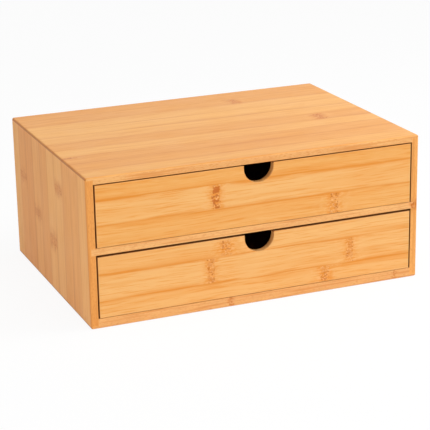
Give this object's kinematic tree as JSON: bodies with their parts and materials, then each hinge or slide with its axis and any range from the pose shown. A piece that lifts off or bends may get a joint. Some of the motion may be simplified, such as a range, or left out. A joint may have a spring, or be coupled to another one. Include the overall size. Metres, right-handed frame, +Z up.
{
  "type": "desktop drawer organizer",
  "caption": "Flat-topped bamboo desktop organizer: an open-fronted case with inset drawers one above the other, each pulled by a half-round finger notch in the top edge of its front.",
  "frame": {"origin": "centre of the base", "axes": "+X to the right along the width, +Y from the drawer fronts to the back, +Z up"},
  "size_m": [0.35, 0.25, 0.15],
  "materials": {
    "bamboo_case_top": "satin lacquer",
    "bamboo_case": "satin lacquer",
    "bamboo_case_side": "satin lacquer",
    "bamboo_drawer_front": "satin lacquer",
    "bamboo_drawer_box": "satin lacquer",
    "bamboo_thin_panel": "satin lacquer",
    "hardwood_dowel": "bare",
    "steel_brad": "plain"
  },
  "bodies": {
    "cabinet": {"top_panel": "bamboo_case_top", "bottom_panel": "bamboo_case", "left_side_panel": "bamboo_case_side", "right_side_panel": "bamboo_case_side", "middle_shelf": "bamboo_case", "back_panel": "bamboo_thin_panel", "back_panel_brads": "steel_brad"},
    "upper_drawer": {"upper_drawer_front": "bamboo_drawer_front", "upper_drawer_left_side": "bamboo_drawer_box", "upper_drawer_right_side": "bamboo_drawer_box", "upper_drawer_back": "bamboo_drawer_box", "upper_drawer_bottom": "bamboo_thin_panel", "upper_drawer_front_dowels": "hardwood_dowel", "upper_drawer_rear_brads": "steel_brad"},
    "lower_drawer": {"lower_drawer_front": "bamboo_drawer_front", "lower_drawer_left_side": "bamboo_drawer_box", "lower_drawer_right_side": "bamboo_drawer_box", "lower_drawer_back": "bamboo_drawer_box", "lower_drawer_bottom": "bamboo_thin_panel", "lower_drawer_front_dowels": "hardwood_dowel", "lower_drawer_rear_brads": "steel_brad"}
  },
  "joints": [
    {"name": "upper_drawer_slide", "type": "slide", "parent": "cabinet", "child": "upper_drawer", "axis": [0, -1, 0], "range_m": [0, 0.18]},
    {"name": "lower_drawer_slide", "type": "slide", "parent": "cabinet", "child": "lower_drawer", "axis": [0, -1, 0], "range_m": [0, 0.18]}
  ]
}
